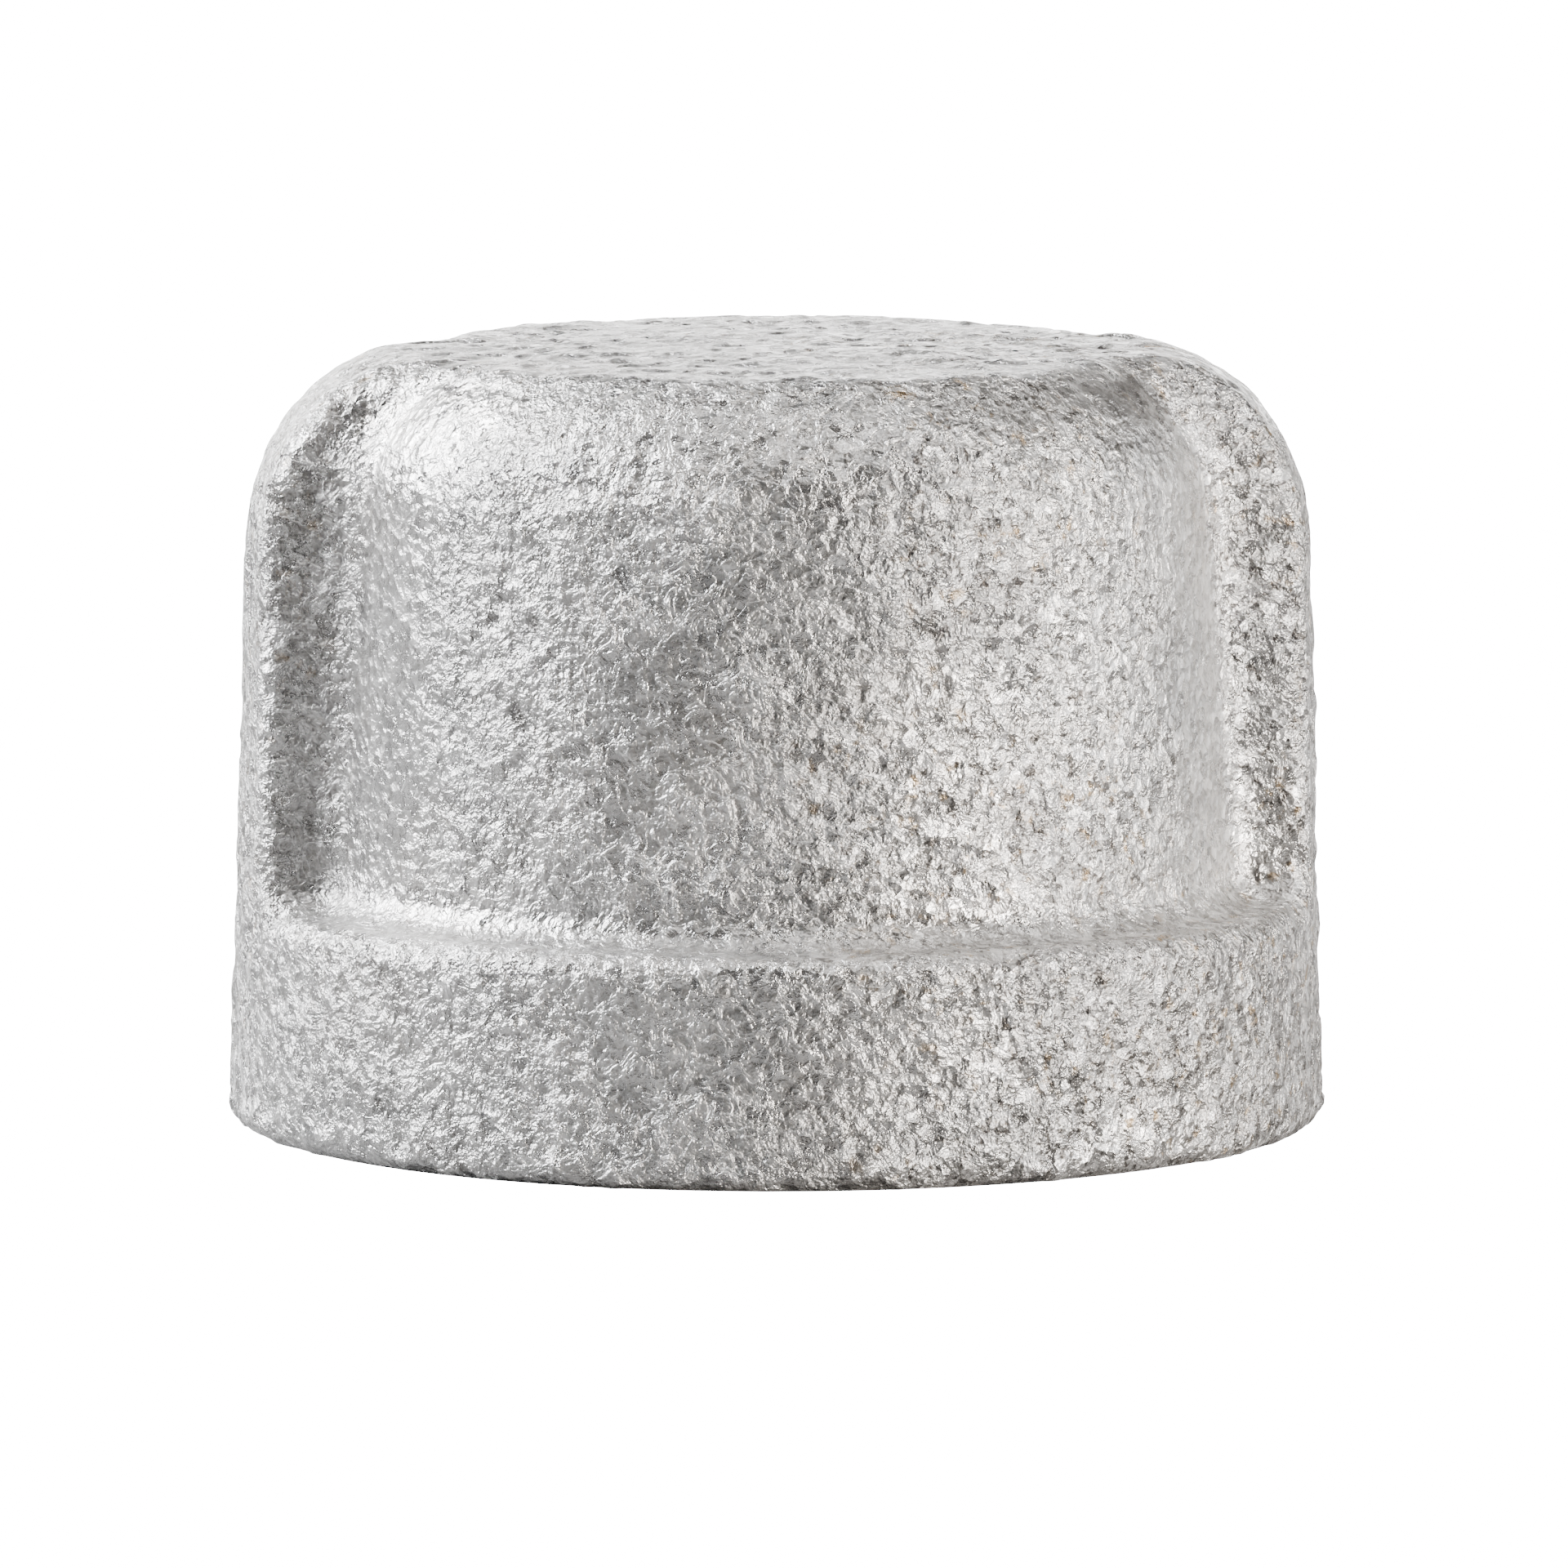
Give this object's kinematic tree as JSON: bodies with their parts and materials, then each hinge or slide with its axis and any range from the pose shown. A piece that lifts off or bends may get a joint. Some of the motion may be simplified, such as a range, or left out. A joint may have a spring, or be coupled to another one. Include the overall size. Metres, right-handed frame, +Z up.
{
  "type": "pipe cap",
  "caption": "Galvanised malleable-iron pipe cap with a banded open end, two wrench ribs, a closed crowned end and an internal taper pipe thread.",
  "frame": {"origin": "centre of the faced rim; the cap stands on its rim, open end down", "axes": "+Z up along the thread axis towards the closed end; +X and -X through the two wrench ribs"},
  "size_m": [0.031, 0.031, 0.0221],
  "materials": {
    "iron": "machined thread and rim, bare",
    "zinc_outside": "hot-dip zinc over a sand-cast surface, grainy, semi-matte",
    "zinc_inside": "hot-dip zinc over a cored surface, dull"
  },
  "bodies": {
    "root": {"cap_casting": "iron", "zinc_coat_outside": "zinc_outside", "zinc_coat_inside": "zinc_inside"}
  },
  "joints": []
}
